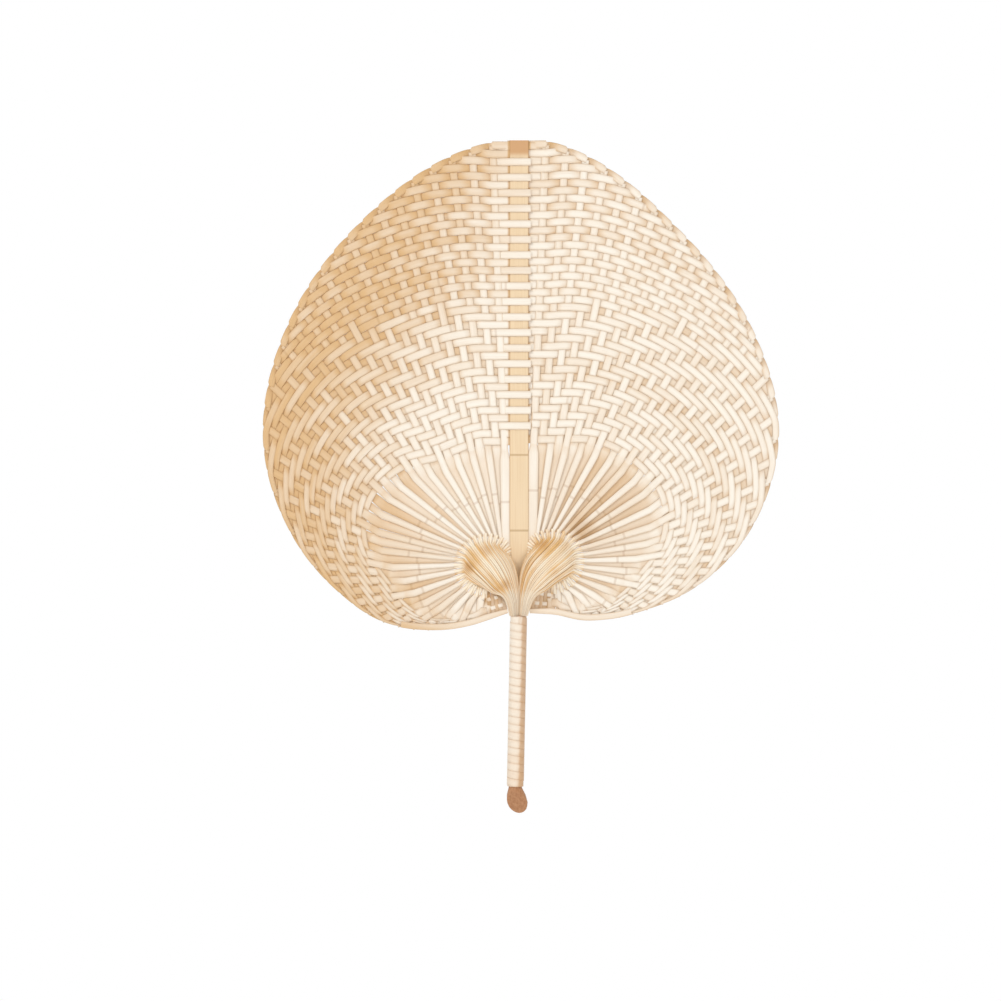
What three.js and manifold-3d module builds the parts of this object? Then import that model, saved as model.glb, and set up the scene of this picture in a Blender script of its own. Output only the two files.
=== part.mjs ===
// Woven hand fan: splints run out from two whorls, turn at the rim and come back as the rows of the weave.
// Millimetres, +Z up the fan, +X to the right of its front, the front faces -Y.
// The origin is the middle of the grip, on the axis of the handle.
import * as THREE from 'three';
import { mergeVertices } from 'three/addons/utils/BufferGeometryUtils.js';
import Module from 'manifold-3d';

const wasm = await Module();
wasm.setup();

// Blade: each side is drawn in polar form round its own whorl, angles in degrees from straight up
const left_rim_reach = 240.2;
const right_rim_reach = 236.2;
const left_window_reach = 71;
const right_window_reach = 68;
const rim_angle_step = 20;
const sides = {
  left: {
    sign: -1,
    whorl: [-22.4, 77.0],
    curl: [-17.5, 76],
    rim_reach: left_rim_reach,
    rim_shape: [1.07, 1, 0.856, 0.72, 0.592, 0.457, 0.346, 0.27, 0.204, 0.164, 0.142, 0.133, 0.13],
    window_reach: left_window_reach,
    window_shape: [1.06, 0.96, 0.9, 0.98, 1, 0.91, 0.74, 0.66, 0.58, 0.47, 0.41, 0.4, 0.4],
  },
  right: {
    sign: 1,
    whorl: [24.7, 81.6],
    curl: [20, 78.5],
    rim_reach: right_rim_reach,
    rim_shape: [1.07, 1, 0.844, 0.724, 0.613, 0.481, 0.354, 0.254, 0.198, 0.166, 0.145, 0.147, 0.16],
    window_reach: right_window_reach,
    window_shape: [0.98, 0.96, 1, 1, 0.98, 0.87, 0.7, 0.61, 0.55, 0.48, 0.42, 0.42, 0.44],
  },
};

// Splints: two leave each root, one on the front layer and one on the back layer
const splints_per_side = 40;
const splint_thickness = 0.35;
const clearance = 0.3;
const first_angle = -2;
const angle_pitch = 2.85;
const angle_spread = 0.00135;
const window_first_angle = -12.5;
const window_angle_pitch = 4.14;
const window_angle_spread = 0.000019;
const ring_first_angle = -38;
const ring_angle_pitch = 5.1;
const ring_angle_spread = 0.00032;
const warp_width_window = 3.4;
const warp_width_least = 2;
const warp_width_most = 4;
const warp_fill = 0.05;
const row_fill = 0.82;
const row_float = 0.66;
const row_float_behind = 0.72;
const plain_rows = 23;
const plain_rows_slant = 0.35;
const least_warp_pitch = 4.2;
const most_crown = 1.75;
const crown_fill = 0.8;
const inner_row_margin = 0.2;
const least_row_count = 0.6;

// Turn at the rim, in shares of the step to the next splint and in row pitches
const turn_depth = 2.2;
const turn_shares = [0.07, 0.3, 0.78];
const fold_inset = 0.55;
const fold_least_width = 2.4;
const rim_follow_end = 0.8;
const rim_drop_end = 1.05;
const rim_drift = 0.05;
const dropped_depth = 0.89;

// Whorls and roots
const whorl_radius = 12.5;
const root_width = 0.9;
const root_length = 3.4;
const fork_reach = 4.5;
const fork_width = 1.3;
const fork_split = 0.25;
const root_fill = 0.8;
const layer_offset = 0.5;
const window_margin = 8;
const layer_settle_length = 5;
const whorl_back = 1.1;
const whorl_front = 1.3;
const hump_reach = 11;
const hump_depth = 3.6;
const hump_forward = 5.5;
const hump_rise = 2;
const neck_half_spacing = 4.1;
const neck_bundle_radius = 3.8;
const bundle_end_radius = 2.35;
const bundle_flutes = 13;
const whorl_flute_share = 0.04;
const bundle_flute_share = 0.1;

// Lower bands: flat strips that close the lower edge from the neck out to the lowest part of the rim
const band_width = 3.6;
const band_end_width = 2.5;
const band_thickness = 0.6;
const band_first_angle = 190;
const band_last_angle = 128;
const band_front = 1.95;
const band_steps = 6;
const band_neck_height = 50;
const band_neck_gap = 1.5;

// Centre rib
const rib_centre = 1.2;
const rib_width = 11;
const rib_thickness = 1.2;
const rib_top = 320.7;
const rib_bend_top = 100;
const rib_taper_start = 82;
const rib_taper_setback = 0.5;
const rib_shoulder_height = 65;
const rib_shoulder_setback = 1.8;
const rib_shoulder_width = 5;
const rib_tail_width = 3.6;
const rib_tail_setback = 2.1;
const rib_tail_depth = 9;
const row_end_past_rib = 1.2;
const row_end_short_of_rib = 2.3;
const row_end_relief = 0.5;

// Handle
const handle_lean = 1.1;
const stick_radius = 3.8;
const stick_facets = 20;
const stick_top = 47.3;
const neck_height = 57;
const tip_radius = 6;
const tip_top = -51.5;
const tip_widest = -60;
const tip_bottom = -67.2;
const tip_shift = 1.3;
const tip_cut_height = -60.5;
const tip_cut_slope = 53;
const tip_cut_turn = -14;
const tip_cutter_size = 40;
const wrap_radius = 4.9;
const wrap_thickness = 0.5;
const wrap_turns = 21;
const wrap_gap = 0.5;
const wrap_top = 47;
const wrap_bottom = -51;
const wrap_steps = 10;

const degrees = Math.PI / 180;
const search_steps = 40;

// Colours read off the object
const colours = {
  splint: '#e9d3ab',
  whorl: '#dcb987',
  rib: '#f1d6ad',
  stick: '#b98a5c',
  wrap: '#e8cda0',
};

function material(name, roughness) {
  return new THREE.MeshStandardMaterial({ color: colours[name], roughness, metalness: 0 });
}

// A smooth curve through evenly stepped values, the first one a step before angle zero
function polarValue(shape, angle) {
  const at = angle / rim_angle_step + 1;
  const i = Math.min(Math.max(Math.floor(at), 1), shape.length - 3);
  const t = at - i;
  const [a, b, c, d] = [shape[i - 1], shape[i], shape[i + 1], shape[i + 2]];
  return b + 0.5 * t * (c - a + t * (2 * a - 5 * b + 4 * c - d + t * (3 * (b - c) + d - a)));
}

const rimRadius = (side, angle) => side.rim_reach * polarValue(side.rim_shape, angle);
const windowRadius = (side, angle) => side.window_reach * polarValue(side.window_shape, angle);
const rimAngle = (j) => first_angle + angle_pitch * j + angle_spread * j ** 3;

// The fractional splint number whose rim angle is the one given
function splintAt(angle) {
  let low = 0;
  let high = splints_per_side;
  for (let i = 0; i < search_steps; i++) {
    const middle = (low + high) / 2;
    if (rimAngle(middle) < angle) low = middle;
    else high = middle;
  }
  return low;
}

// Depth of a row behind the rim in row pitches: it follows the rim, then drops behind the next turn
function rowDepth(d) {
  if (d <= rim_follow_end) return rim_drift * Math.max(d, 0);
  if (d > rim_drop_end) return d - (rim_drop_end - dropped_depth) * Math.exp(rim_drop_end - d);
  const edge_depth = rim_drift * rim_follow_end;
  return THREE.MathUtils.mapLinear(d, rim_follow_end, rim_drop_end, edge_depth, dropped_depth);
}

function rowPitch(side, angle) {
  const at = Math.max(angle, first_angle);
  const rows = Math.max(splints_per_side - inner_row_margin - splintAt(at), least_row_count);
  return (rimRadius(side, at) - windowRadius(side, at)) / rows;
}

const rowWidth = (side, angle) => row_fill * rowPitch(side, angle);

// Radius of the middle of row k; past the first splint the rows run level to the rib
function rowRadius(side, k, angle) {
  const at = Math.max(angle, first_angle);
  const depth = rowDepth(k - splintAt(at)) * rowPitch(side, at);
  const radius = rimRadius(side, at) - rowWidth(side, at) / 2 - depth;
  return angle < at ? radius * Math.cos(at * degrees) / Math.cos(angle * degrees) : radius;
}

function polarPoint(side, radius, angle, centre = side.whorl) {
  const x = centre[0] + side.sign * radius * Math.sin(angle * degrees);
  return new THREE.Vector2(x, centre[1] + radius * Math.cos(angle * degrees));
}

// The angle runs from -90 over the top and down to 270, so that it never jumps within the weave
function polarOf(side, point) {
  const x = (point.x - side.whorl[0]) * side.sign;
  const z = point.y - side.whorl[1];
  return { radius: Math.hypot(x, z), angle: 90 - Math.atan2(z, x) / degrees };
}

const windowAngle = (j) => (
  window_first_angle + window_angle_pitch * j + window_angle_spread * j ** 4);

const ringAngle = (j) => ring_first_angle + ring_angle_pitch * j + ring_angle_spread * j ** 3;

// Straight run of warp j, from the edge of the open window to just inside the rim
function warpLine(side, j) {
  const near = windowAngle(j);
  const far = rimAngle(j);
  const rim = rimRadius(side, far) - rowWidth(side, far) / 2;
  const start = polarPoint(side, windowRadius(side, near) - window_margin, near);
  return { start, end: polarPoint(side, rim - turn_depth, far) };
}

function warpDirection(side, j) {
  const line = warpLine(side, j);
  return line.end.sub(line.start).normalize();
}

const warpWidth = (radius) => (
  THREE.MathUtils.clamp(radius * warp_fill, warp_width_least, warp_width_most));

// Where row k meets warp j
function crossing(side, k, j) {
  const line = warpLine(side, j);
  const past_the_end = 1.1;
  let low = 0;
  let high = past_the_end;
  for (let i = 0; i < search_steps; i++) {
    const middle = (low + high) / 2;
    const point = line.start.clone().lerp(line.end, middle);
    const polar = polarOf(side, point);
    if (polar.radius < rowRadius(side, k, polar.angle)) low = middle;
    else high = middle;
  }
  return line.start.clone().lerp(line.end, low);
}

// Plain weave above, two over and two under below
function rowIsInFront(k, j) {
  if (k + plain_rows_slant * j < plain_rows) return (k + j) % 2 === 0;
  return ((k + j) % 4 + 4) % 4 < 2;
}

// Stations are the rings of a splint: a point in the plane, a height off it, a width
// and, where a row crosses a warp, the direction of that warp
const station = (point, lift, width, across) => ({ point, lift, width, across });

// The part of a splint from its root out to the rim
function warpStations(side, j) {
  const front = j % 2 === 0 ? -1 : 1;
  const lift = layer_offset * front;
  const pair_middle = j - (j % 2) + 0.5;
  const root_end = polarPoint(side, whorl_radius + clearance, ringAngle(pair_middle), side.curl);
  const fork_angle = ringAngle(pair_middle + fork_split * front);
  const fork = polarPoint(side, whorl_radius + clearance + fork_reach, fork_angle, side.curl);
  const line = warpLine(side, j);
  const length = line.end.distanceTo(line.start);
  const into_weave = line.start.clone().lerp(line.end, Math.min(0.5, layer_settle_length / length));
  const inner = polarOf(side, into_weave).radius;
  const outer = polarOf(side, line.end).radius;
  return [
    station(root_end, lift, root_width),
    station(fork, lift, fork_width),
    station(line.start, lift, warp_width_window),
    station(into_weave, 0, warpWidth(inner)),
    station(line.end, 0, warpWidth(outer)),
  ];
}

// The turn at the rim, where the warp bends over into its row
function turnStations(side, k) {
  const far = rimAngle(k);
  const step = k > 0 ? far - rimAngle(k - 1) : angle_pitch / 2;
  const width = rowWidth(side, far);
  return turn_shares.map((share, i) => {
    const angle = far - share * step;
    const inset = i === 0 ? fold_inset : 0;
    const point = polarPoint(side, rowRadius(side, k, angle) - inset, angle);
    return station(point, 0, i === 0 ? Math.max(width, fold_least_width) : width);
  });
}

// One ring where a row passes a single warp, two where it floats over a pair of them
function floatStations(side, k) {
  const list = [];
  let j = k - 1;
  while (j >= 0) {
    const in_front = rowIsInFront(k, j);
    const last = j > 0 && rowIsInFront(k, j - 1) === in_front ? j - 1 : j;
    const lift = in_front ? -row_float : row_float_behind;
    const points = [crossing(side, k, j), crossing(side, k, last)];
    const polars = points.map((point) => polarOf(side, point));
    const widths = polars.map((polar) => rowWidth(side, polar.angle));
    const across = [warpDirection(side, j), warpDirection(side, last)];
    if (last === j) {
      const turned = (rimAngle(j + 1) - rimAngle(j)) * degrees;
      const pitch = Math.max(polars[0].radius * turned, least_warp_pitch);
      const filled = crown_fill * warpWidth(polars[0].radius) / pitch;
      const crown = Math.min(most_crown, 1 / (1 - filled));
      list.push(station(points[0], lift * crown, widths[0], across[0]));
    } else {
      const along = points[1].clone().sub(points[0]).normalize();
      const reach = polars.map((polar, end) => (
        warpWidth(polar.radius) / 2 / Math.abs(along.cross(across[end]))));
      const first = points[0].clone().addScaledVector(along, -reach[0]);
      const second = points[1].clone().addScaledVector(along, reach[1]);
      list.push(station(first, lift, widths[0], across[0]));
      list.push(station(second, lift, widths[1], across[1]));
    }
    j = last - 1;
  }
  return list;
}

// Odd rows of the left side end over the rib, even rows of the right side end behind it
function ribStations(side, k, last_lift) {
  const height = polarPoint(side, rowRadius(side, k, first_angle), first_angle).y;
  const width = rowWidth(side, first_angle);
  const near = rib_centre + side.sign * rib_width / 2;
  const far = rib_centre - side.sign * (rib_width / 2 + row_end_past_rib);
  const crosses = side.sign < 0 ? k % 2 === 1 : k % 2 === 0;
  if (!crosses) {
    const end = new THREE.Vector2(near + side.sign * row_end_short_of_rib, height);
    return [station(end, last_lift * row_end_relief, width)];
  }
  const off = rib_thickness / 2 + clearance + splint_thickness;
  const lift = side.sign < 0 ? -off : off;
  return [
    station(new THREE.Vector2(near, height), lift, width),
    station(new THREE.Vector2(far, height), lift, width),
  ];
}

// A closed body through equal rings of points; each ring turns about the way from one ring to the next
function sweep(rings) {
  const around = rings[0].length;
  const positions = rings.flat().flatMap((point) => [point.x, point.y, point.z]);
  const indices = [];
  for (let r = 0; r < rings.length - 1; r++) {
    for (let i = 0; i < around; i++) {
      const a = r * around + i;
      const b = r * around + (i + 1) % around;
      indices.push(a, b, b + around, a, b + around, a + around);
    }
  }
  const last = (rings.length - 1) * around;
  for (let i = 1; i < around - 1; i++) {
    indices.push(0, i + 1, i);
    indices.push(last, last + i, last + i + 1);
  }
  const geometry = new THREE.BufferGeometry();
  geometry.setAttribute('position', new THREE.Float32BufferAttribute(positions, 3));
  geometry.setIndex(indices);
  return geometry;
}

// Half the width of a strip at a station, square to its run or along the warp it crosses
function halfWidth(stations, i) {
  const at = stations[i];
  const before = stations[Math.max(i - 1, 0)].point;
  const after = stations[Math.min(i + 1, stations.length - 1)].point;
  const into = at.point.clone().sub(before).normalize();
  const out = after.clone().sub(at.point).normalize();
  const along = into.add(out).normalize();
  const square = new THREE.Vector2(-along.y, along.x);
  const across = at.across ?? square;
  return across.clone().multiplyScalar(at.width / 2 / across.dot(square));
}

// A splint: a flat back and a low ridge along the front
function strip(stations) {
  const base = splint_thickness / 3;
  const ridge = splint_thickness - base;
  return sweep(stations.map((at, i) => {
    const half = halfWidth(stations, i);
    return [
      new THREE.Vector3(at.point.x - half.x, at.lift + base, at.point.y - half.y),
      new THREE.Vector3(at.point.x + half.x, at.lift + base, at.point.y + half.y),
      new THREE.Vector3(at.point.x, at.lift - ridge, at.point.y),
    ];
  }));
}

// A flat bar of even thickness
function slat(stations, thickness) {
  return sweep(stations.map((at, i) => {
    const half = halfWidth(stations, i);
    const corner = (way, front) => new THREE.Vector3(
      at.point.x + way * half.x, at.lift + front * thickness / 2, at.point.y + way * half.y);
    return [corner(-1, 1), corner(1, 1), corner(1, -1), corner(-1, -1)];
  }));
}

function splint(side, j) {
  const weave = [...turnStations(side, j), ...floatStations(side, j)];
  return strip([...warpStations(side, j), ...weave, ...ribStations(side, j, weave.at(-1).lift)]);
}

function toSolid(geometry) {
  const plain = geometry.clone();
  plain.deleteAttribute('normal');
  plain.deleteAttribute('uv');
  const merged = mergeVertices(plain, 1e-4);
  const vertProperties = new Float32Array(merged.attributes.position.array);
  const triVerts = new Uint32Array(merged.index.array);
  return new wasm.Manifold(new wasm.Mesh({ numProp: 3, vertProperties, triVerts }));
}

function toGeometry(solid) {
  const mesh = solid.getMesh();
  const geometry = new THREE.BufferGeometry();
  geometry.setAttribute('position', new THREE.BufferAttribute(new Float32Array(mesh.vertProperties), 3));
  geometry.setIndex(new THREE.BufferAttribute(new Uint32Array(mesh.triVerts), 1));
  return geometry;
}

// The unsplit root that two splints share, lying radially at the whorl
function root(side, pair) {
  const angle = ringAngle(2 * pair + 0.5);
  const block = new THREE.BoxGeometry(root_width * root_fill, 2 * layer_offset, root_length);
  const middle = polarPoint(side, whorl_radius + clearance + root_length / 2, angle, side.curl);
  block.rotateY(side.sign * angle * degrees);
  block.translate(middle.x, 0, middle.y);
  return block;
}

function splintPair(side, pair) {
  const front = toSolid(splint(side, 2 * pair));
  const back = toSolid(splint(side, 2 * pair + 1));
  return toGeometry(front.add(back).add(toSolid(root(side, pair))));
}

// An oval ring with a ridge and a furrow for each bunch of splints that was gathered into it
function ovalRing({ centre, reach, depth, across, second, flute }) {
  return Array.from({ length: 2 * bundle_flutes }, (_, i) => {
    const turn = Math.PI * i / bundle_flutes;
    const share = i % 2 === 0 ? 1 : 1 - flute;
    const point = centre.clone().addScaledVector(across, share * reach * Math.cos(turn));
    return point.addScaledVector(second, share * depth * Math.sin(turn));
  });
}

const neckX = (side) => rib_centre + side.sign * neck_half_spacing;
const stickX = (height) => height * Math.tan(handle_lean * degrees);
const bundleEndX = (side) => stickX(stick_top) + side.sign * (bundle_end_radius + clearance / 2);

// The gathered splints of one side: a disc at the whorl, a hump curled forward, then down into the neck
function whorlBundle(side) {
  const start = new THREE.Vector3(side.curl[0], 0, side.curl[1]);
  const neck = new THREE.Vector3(neckX(side), 0, neck_height);
  const down = neck.clone().sub(start).normalize();
  const up = new THREE.Vector3(down.z, 0, -down.x).multiplyScalar(side.sign);
  const inward = new THREE.Vector3(-side.sign, 0, 0);
  const through = new THREE.Vector3(0, side.sign, 0);
  const ring = (share, front, rise, reach, depth, tilt) => {
    const centre = start.clone().lerp(neck, share).addScaledVector(up, rise);
    centre.y = -front;
    const second = down.clone().multiplyScalar(side.sign * Math.cos(tilt * degrees));
    second.addScaledVector(through, Math.sin(tilt * degrees));
    const flute = tilt > 0 ? bundle_flute_share : whorl_flute_share;
    return { centre, reach, depth, across: up, second, flute };
  };
  const level = (x, front, height, radius) => {
    const centre = new THREE.Vector3(x, -front, height);
    const flute = bundle_flute_share;
    return { centre, reach: radius, depth: radius, across: inward, second: through, flute };
  };
  // share of the way, distance in front, rise off the way, half breadth, half depth, tilt
  const rings = [
    ring(0, -whorl_back, 0, whorl_radius, whorl_radius, 0),
    ring(0, whorl_front, 0, whorl_radius, whorl_radius, 0),
    ring(0.08, 3, 0.5, whorl_radius * 0.98, whorl_radius * 0.8, 25),
    ring(0.3, hump_forward - 0.4, hump_rise, hump_reach, hump_depth * 1.4, 60),
    ring(0.62, hump_forward, hump_rise, hump_reach * 0.74, hump_depth, 90),
  ];
  rings.push(level(neckX(side), neck_bundle_radius - 0.6, neck_height, neck_bundle_radius));
  rings.push(level(bundleEndX(side), bundle_end_radius - 1.1, stick_top + clearance, bundle_end_radius));
  return sweep(rings.map(ovalRing));
}

// Slat up the middle of the blade, tapering to a tail that sits in a slot of the stick
function centreRib() {
  const tail_x = stickX(stick_top);
  const at = (x, lift, height, width) => station(new THREE.Vector2(x, height), lift, width);
  return slat([
    at(rib_centre, 0, rib_top, rib_width),
    at(rib_centre, 0, rib_bend_top, rib_width),
    at(rib_centre, rib_taper_setback, rib_taper_start, rib_width),
    at((rib_centre + tail_x) / 2, rib_shoulder_setback, rib_shoulder_height, rib_shoulder_width),
    at(tail_x, rib_tail_setback, neck_height, rib_tail_width),
    at(tail_x, rib_tail_setback, stick_top - rib_tail_depth, rib_tail_width),
  ], rib_thickness);
}

// Strip along the lower edge, from beside the neck out to the lowest part of the rim
function lowerBand(side) {
  const inner = bundleEndX(side) + side.sign * (bundle_end_radius + band_neck_gap);
  const stations = [station(new THREE.Vector2(inner, band_neck_height), -band_front, band_end_width)];
  for (let i = 0; i <= band_steps; i++) {
    const angle = THREE.MathUtils.lerp(band_first_angle, band_last_angle, i / band_steps);
    const radius = rimRadius(side, angle) - band_width / 2;
    stations.push(station(polarPoint(side, radius, angle), -band_front, band_width));
  }
  return slat(stations, band_thickness);
}

// Bamboo stick: the slot for the tail of the rib above, below a swollen end cut on the slant,
// so that the cut faces forward and down
function handleStick() {
  const chamfer = 0.5;
  const profile = [
    [0, tip_bottom],
    [tip_radius * 0.75, tip_bottom],
    [tip_radius * 0.93, (tip_bottom + tip_widest) / 2],
    [tip_radius, tip_widest],
    [tip_radius * 0.9, (tip_widest + tip_top) / 2],
    [stick_radius, tip_top],
    [stick_radius, stick_top - chamfer],
    [stick_radius - chamfer, stick_top],
    [0, stick_top],
  ];
  const outline = profile.map(([radius, height]) => new THREE.Vector2(radius, height));
  const lathe = new THREE.LatheGeometry(outline, stick_facets);
  lathe.rotateX(Math.PI / 2);
  const position = lathe.attributes.position;
  for (let i = 0; i < position.count; i++) {
    const z = position.getZ(i);
    const share = 1 - THREE.MathUtils.smoothstep(z, tip_widest, tip_top);
    position.setX(i, position.getX(i) + tip_shift * share);
  }
  const slot_width = rib_tail_width + 2 * clearance;
  const slot = new THREE.BoxGeometry(slot_width, rib_thickness + 2 * clearance, 2 * rib_tail_depth);
  slot.translate(0, rib_tail_setback, stick_top - clearance);
  const cutter = new THREE.BoxGeometry(tip_cutter_size, tip_cutter_size, tip_cutter_size);
  cutter.translate(0, 0, -tip_cutter_size / 2);
  cutter.rotateX(-tip_cut_slope * degrees);
  cutter.rotateZ(tip_cut_turn * degrees);
  cutter.translate(tip_shift, 0, tip_cut_height);
  return toGeometry(toSolid(lathe).subtract(toSolid(slot)).subtract(toSolid(cutter)));
}

// Flat strip wound down the stick in one unbroken helix
function wrapRings() {
  const pitch = (wrap_top - wrap_bottom) / (wrap_turns + 1);
  const rings = [];
  const steps = wrap_turns * wrap_steps;
  const inner = wrap_radius - wrap_thickness;
  for (let i = 0; i <= steps; i++) {
    const turn = 2 * Math.PI * i / wrap_steps;
    const middle = wrap_top - pitch / 2 - pitch * i / wrap_steps;
    const half = (pitch - wrap_gap) / 2;
    const corner = (radius, height) => new THREE.Vector3(
      radius * Math.sin(turn), -radius * Math.cos(turn), height);
    rings.push([
      corner(inner, middle + half),
      corner(wrap_radius, middle + half),
      corner(wrap_radius, middle - half),
      corner(inner, middle - half),
    ]);
  }
  return rings;
}

const gripWrap = () => sweep(wrapRings());

// Least distance between the lower edge of one turn and the upper edge of the next
function leastWrapGap() {
  const rings = wrapRings();
  let least = Infinity;
  for (let i = 0; i + wrap_steps < rings.length; i++) {
    const below = rings[i + wrap_steps];
    for (const corner of [rings[i][2], rings[i][3]]) {
      least = Math.min(least, corner.distanceTo(below[0]), corner.distanceTo(below[1]));
    }
  }
  return least;
}

const fan = new THREE.Group();

function addMesh(parent, name, geometry, finish) {
  geometry.computeVertexNormals();
  const mesh = new THREE.Mesh(geometry, finish);
  mesh.name = name;
  parent.add(mesh);
}

for (const [name, side] of Object.entries(sides)) {
  for (let pair = 0; pair < splints_per_side / 2; pair++) {
    const number = String(pair + 1).padStart(2, '0');
    addMesh(fan, `${name}_splints_${number}`, splintPair(side, pair), material('splint', 0.6));
  }
  addMesh(fan, `${name}_whorl`, whorlBundle(side), material('whorl', 0.6));
  addMesh(fan, `${name}_lower_band`, lowerBand(side), material('whorl', 0.6));
}
addMesh(fan, 'centre_rib', centreRib(), material('rib', 0.5));

const handle = new THREE.Group();
handle.rotation.y = handle_lean * degrees;
addMesh(handle, 'handle_stick', handleStick(), material('stick', 0.5));
addMesh(handle, 'grip_wrap', gripWrap(), material('wrap', 0.6));
fan.add(handle);

console.log(`least gap between turns of the grip wrap: ${leastWrapGap().toFixed(2)} mm`);

export default fan;
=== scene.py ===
import math
import random
from collections import namedtuple

import bmesh
import bpy
from mathutils import Matrix, Vector


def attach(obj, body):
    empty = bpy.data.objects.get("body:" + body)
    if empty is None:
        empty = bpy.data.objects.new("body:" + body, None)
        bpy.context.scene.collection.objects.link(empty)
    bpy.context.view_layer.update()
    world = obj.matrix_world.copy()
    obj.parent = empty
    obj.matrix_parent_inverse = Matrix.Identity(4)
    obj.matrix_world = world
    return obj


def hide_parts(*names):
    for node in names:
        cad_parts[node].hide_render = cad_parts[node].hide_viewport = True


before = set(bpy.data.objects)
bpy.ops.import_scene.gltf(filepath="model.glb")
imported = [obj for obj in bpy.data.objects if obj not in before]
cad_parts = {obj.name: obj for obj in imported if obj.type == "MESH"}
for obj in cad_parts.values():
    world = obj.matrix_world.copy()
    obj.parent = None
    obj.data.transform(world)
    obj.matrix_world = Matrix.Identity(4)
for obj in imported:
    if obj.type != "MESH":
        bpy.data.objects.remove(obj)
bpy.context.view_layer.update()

MM = 0.001
TAU = 2 * math.pi


# Sizes in millimetres, angles in degrees: x to the right, z up the fan, the front faces -y

RIM_STEP = 20
SIDES = {
    "left": {
        "sign": -1,
        "whorl": (-22.4, 77.0),
        "curl": (-17.5, 76.0),
        "rim": 240.2,
        "rim_shape": [1.07, 1, 0.856, 0.72, 0.592, 0.457, 0.346, 0.27, 0.204, 0.164, 0.142, 0.133, 0.13],
        "window": 71,
        "window_shape": [1.06, 0.96, 0.9, 0.98, 1, 0.91, 0.74, 0.66, 0.58, 0.47, 0.41, 0.4, 0.4],
    },
    "right": {
        "sign": 1,
        "whorl": (24.7, 81.6),
        "curl": (20.0, 78.5),
        "rim": 236.2,
        "rim_shape": [1.07, 1, 0.844, 0.724, 0.613, 0.481, 0.354, 0.254, 0.198, 0.166, 0.145, 0.147, 0.16],
        "window": 68,
        "window_shape": [0.98, 0.96, 1, 1, 0.98, 0.87, 0.7, 0.61, 0.55, 0.48, 0.42, 0.42, 0.44],
    },
}

# Weave: the insets, the lag and the softness of a turn are in row pitches
SPLINTS = 40
THICKNESS = 0.34
FIRST_ANGLE = -2
PLAIN_ROWS = 23
PLAIN_SLANT = 0.35
WINDOW_ROW = SPLINTS - 1.09
ROWS_LEAST = 0.6
ROW_MOST = 4.7
ROW_INSET = 0.34
BAND_INSET = 0.36
ROW_LIFT = 0.5
ROW_OVER_RIB = 0.45
TURN_LAG = 0.85
TURN_SOFTNESS = 0.2
WARP_LIFT = 0.2
WARP_LEAST, WARP_FILL, WARP_MOST = 2.0, 0.86, 4.3
SLANT_LEAST = 0.8

# Open window: the even splints lie in front there, the odd ones wider behind them and darker with painted
# shade
WINDOW_MARGIN = 8
FORK_REACH = 4.5
LAYER_OFFSET = 0.5
PAIR_SPREAD = 0.3
SPOKE_WIDTH = 2
FRONT_GAIN, BACK_GAIN = 2.2, 3.6
FRONT_SHADE, BACK_SHADE = 0.0, 0.5
RIB_TUCK, RIB_TUCK_LIFT = 0.6, -0.25

# Whorls and neck: the twist of a strand is in radians
WHORL_RADIUS = 12.5
WHORL_BACK = 1.1
HUMP_REACH, HUMP_DEPTH, HUMP_FORWARD, HUMP_RISE = 11, 3.6, 5.1, 2
NECK_HEIGHT = 57
NECK_HALF_SPACING = 4.1
NECK_RADIUS = 4.1
BUNDLE_END_RADIUS = 2.35
BUNDLE_GAP = 0.15
CORE_SHARE = 0.97
NECK_STRANDS = 24
RIB_STRANDS = 6
STRAND_THICKNESS = 0.8
STRAND_FILL, STRAND_LEAST = 0.56, 0.12
STRAND_SWELL = 0.06
STRAND_TWIST, TWIST_SPREAD = 0.25, 0.1
RING_STEPS = 5
ROLL_STEP = 13

# A strand's way from the window up on the disc: share of the reach, height in front if even, if odd
LIFT_OFF = ((1.5, 0.5, -0.4), (1.36, 0.6, 0.1), (1.24, 0.95, 0.8), (1.14, 1.6, 1.6), (1.06, 2.5, 2.5))

# Rib
RIB_CENTRE = 1.2
RIB_WIDTH = 11
RIB_THICKNESS = 1.2
RIB_TOP = 320.7
RIB_BEND_TOP = 100
RIB_TAPER_START, RIB_TAPER_BACK = 82, 0.5
RIB_SHOULDER_HEIGHT, RIB_SHOULDER_BACK, RIB_SHOULDER_WIDTH = 65, 1.8, 5
RIB_TAIL_WIDTH = 3.6
RIB_TAIL_BACK = 2.1
RIB_TAIL_DEPTH = 9
RIB_JOINTS = (139.7, 96.2)
RIB_BARE_FROM, RIB_BARE_TO = 310.5, 314.5

# Lower bands, and the splint ends beside the neck
BAND_WIDTH = 3.6
BAND_THICKNESS = 0.6
BAND_FRONT = 1.95
BAND_FIRST, BAND_LAST = 190, 128
BAND_STEPS = 24
BAND_NECK_HEIGHT = 50
BAND_NECK_GAP = 1.65
BAND_NECK_SHARE = 0.7
END_SPLINTS = 5
END_FIRST, END_STEP = 186, 9
END_WIDTH, END_NARROWING = 2.5, 0.9
END_ROW_WIDTH = 2.3

# Handle
LEAN = math.radians(1.1)
STICK_TOP = 47.3
WRAP_RADIUS = 4.9
WRAP_THICKNESS = 0.5
WRAP_TURNS = 21
WRAP_STEPS = 24
WRAP_TOP, WRAP_BOTTOM = 47, -51
WRAP_END_TUCK = 0.25

# The bamboo is warmer towards the left, more so above and below these heights
WARM_FROM, WARM_TO = 30, 145
WARM_ABOVE, WARM_BELOW = 150, 110
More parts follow.
